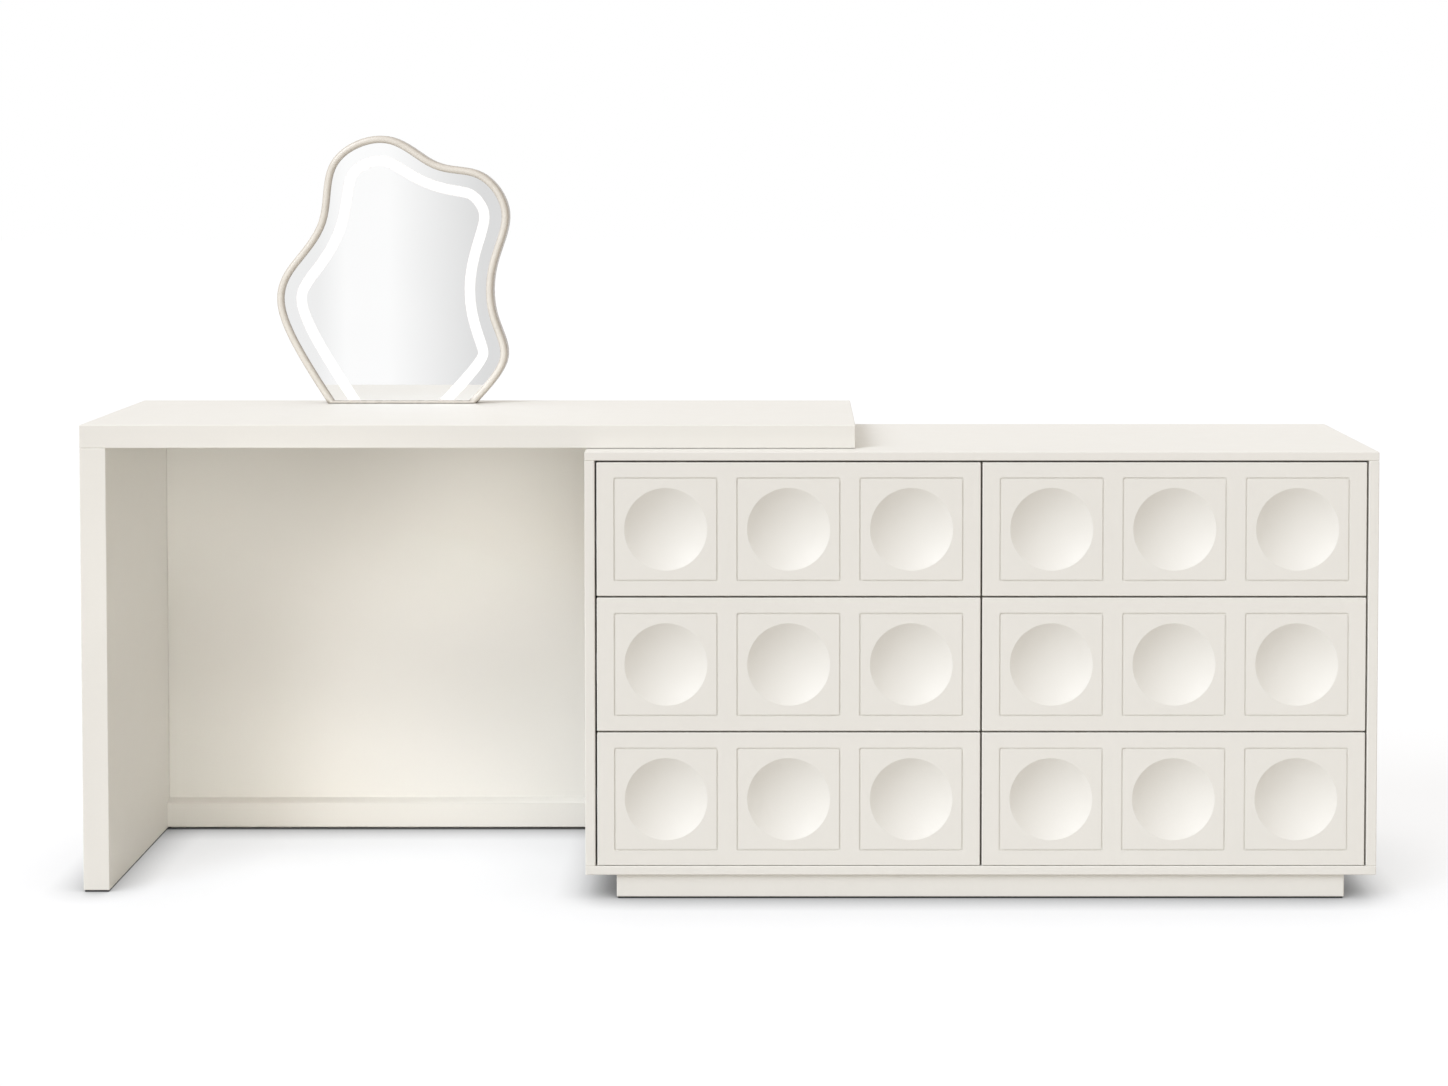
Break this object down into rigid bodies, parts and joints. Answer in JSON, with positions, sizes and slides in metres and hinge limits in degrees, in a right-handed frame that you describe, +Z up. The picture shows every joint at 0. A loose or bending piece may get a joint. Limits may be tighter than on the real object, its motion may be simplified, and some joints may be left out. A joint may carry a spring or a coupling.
{
  "type": "dressing table",
  "caption": "Cream dressing table: a drawer chest with dished square fronts, a desk that slides out over it, and a free-form mirror with a frosted light band.",
  "frame": {"origin": "on the floor, under the middle of the length and the depth of the whole, with the desk pulled out", "axes": "+Z up; +X along the length, from the desk's end panel towards the chest; the drawer fronts face -Y"},
  "size_m": [2.059, 0.44, 1.2124],
  "materials": {
    "cream_lacquer": "satin cream lacquer on board",
    "rim_lacquer": "semi-gloss cream lacquer",
    "back_board": "matt cream lacquer on thin board",
    "drawer_board": "matt foil on board",
    "drawer_panel": "matt foil on thin board",
    "runner_steel": "zinc-plated sheet",
    "bracket_steel": "powder coat",
    "dark_nylon": "moulded nylon",
    "mirror_glass": "silvered flat glass with a frosted band",
    "light_diffuser": "opal diffuser"
  },
  "bodies": {
    "root": {"chest_top": "cream_lacquer", "chest_left_side": "cream_lacquer", "chest_right_side": "cream_lacquer", "chest_bottom": "cream_lacquer", "chest_divider": "drawer_board", "chest_back": "back_board", "plinth_front": "cream_lacquer", "plinth_back": "cream_lacquer", "plinth_ends": "cream_lacquer", "plinth_glides": "dark_nylon", "runner_outer_members": "runner_steel"},
    "desk": {"desk_top": "cream_lacquer", "desk_end_panel": "cream_lacquer", "desk_back_panel": "cream_lacquer", "desk_skirting": "cream_lacquer", "desk_floor_glides": "dark_nylon", "desk_slide_strips": "dark_nylon", "mirror_frame": "rim_lacquer", "mirror_glass": "mirror_glass", "mirror_backing": "back_board", "mirror_light_strip": "light_diffuser", "mirror_brackets": "bracket_steel", "mirror_screws": "bracket_steel", "mirror_power_socket": "dark_nylon"},
    "left_top_drawer": {"left_top_front": "cream_lacquer", "left_top_sides": "drawer_board", "left_top_back": "drawer_board", "left_top_bottom": "drawer_panel", "left_top_runner_inner": "runner_steel"},
    "left_top_runner_middle_pair": {"left_top_runner_middle": "runner_steel"},
    "left_middle_drawer": {"left_middle_front": "cream_lacquer", "left_middle_sides": "drawer_board", "left_middle_back": "drawer_board", "left_middle_bottom": "drawer_panel", "left_middle_runner_inner": "runner_steel"},
    "left_middle_runner_middle_pair": {"left_middle_runner_middle": "runner_steel"},
    "left_bottom_drawer": {"left_bottom_front": "cream_lacquer", "left_bottom_sides": "drawer_board", "left_bottom_back": "drawer_board", "left_bottom_bottom": "drawer_panel", "left_bottom_runner_inner": "runner_steel"},
    "left_bottom_runner_middle_pair": {"left_bottom_runner_middle": "runner_steel"},
    "right_top_drawer": {"right_top_front": "cream_lacquer", "right_top_sides": "drawer_board", "right_top_back": "drawer_board", "right_top_bottom": "drawer_panel", "right_top_runner_inner": "runner_steel"},
    "right_top_runner_middle_pair": {"right_top_runner_middle": "runner_steel"},
    "right_middle_drawer": {"right_middle_front": "cream_lacquer", "right_middle_sides": "drawer_board", "right_middle_back": "drawer_board", "right_middle_bottom": "drawer_panel", "right_middle_runner_inner": "runner_steel"},
    "right_middle_runner_middle_pair": {"right_middle_runner_middle": "runner_steel"},
    "right_bottom_drawer": {"right_bottom_front": "cream_lacquer", "right_bottom_sides": "drawer_board", "right_bottom_back": "drawer_board", "right_bottom_bottom": "drawer_panel", "right_bottom_runner_inner": "runner_steel"},
    "right_bottom_runner_middle_pair": {"right_bottom_runner_middle": "runner_steel"}
  },
  "joints": [
    {"name": "desk_slide", "type": "slide", "parent": "root", "child": "desk", "axis": [1, 0, 0], "range_m": [0, 0.76]},
    {"name": "left_top_drawer_slide", "type": "slide", "parent": "root", "child": "left_top_drawer", "axis": [0, -1, 0], "range_m": [0, 0.35]},
    {"name": "left_top_runner_slide", "type": "slide", "parent": "root", "child": "left_top_runner_middle_pair", "axis": [0, -1, 0], "range_m": [0, 0.175]},
    {"name": "left_middle_drawer_slide", "type": "slide", "parent": "root", "child": "left_middle_drawer", "axis": [0, -1, 0], "range_m": [0, 0.35]},
    {"name": "left_middle_runner_slide", "type": "slide", "parent": "root", "child": "left_middle_runner_middle_pair", "axis": [0, -1, 0], "range_m": [0, 0.175]},
    {"name": "left_bottom_drawer_slide", "type": "slide", "parent": "root", "child": "left_bottom_drawer", "axis": [0, -1, 0], "range_m": [0, 0.35]},
    {"name": "left_bottom_runner_slide", "type": "slide", "parent": "root", "child": "left_bottom_runner_middle_pair", "axis": [0, -1, 0], "range_m": [0, 0.175]},
    {"name": "right_top_drawer_slide", "type": "slide", "parent": "root", "child": "right_top_drawer", "axis": [0, -1, 0], "range_m": [0, 0.35]},
    {"name": "right_top_runner_slide", "type": "slide", "parent": "root", "child": "right_top_runner_middle_pair", "axis": [0, -1, 0], "range_m": [0, 0.175]},
    {"name": "right_middle_drawer_slide", "type": "slide", "parent": "root", "child": "right_middle_drawer", "axis": [0, -1, 0], "range_m": [0, 0.35]},
    {"name": "right_middle_runner_slide", "type": "slide", "parent": "root", "child": "right_middle_runner_middle_pair", "axis": [0, -1, 0], "range_m": [0, 0.175]},
    {"name": "right_bottom_drawer_slide", "type": "slide", "parent": "root", "child": "right_bottom_drawer", "axis": [0, -1, 0], "range_m": [0, 0.35]},
    {"name": "right_bottom_runner_slide", "type": "slide", "parent": "root", "child": "right_bottom_runner_middle_pair", "axis": [0, -1, 0], "range_m": [0, 0.175]}
  ],
  "couplings": [
    {"joint": "left_top_runner_slide", "follows": "left_top_drawer_slide", "ratio": 0.5},
    {"joint": "left_middle_runner_slide", "follows": "left_middle_drawer_slide", "ratio": 0.5},
    {"joint": "left_bottom_runner_slide", "follows": "left_bottom_drawer_slide", "ratio": 0.5},
    {"joint": "right_top_runner_slide", "follows": "right_top_drawer_slide", "ratio": 0.5},
    {"joint": "right_middle_runner_slide", "follows": "right_middle_drawer_slide", "ratio": 0.5},
    {"joint": "right_bottom_runner_slide", "follows": "right_bottom_drawer_slide", "ratio": 0.5}
  ]
}
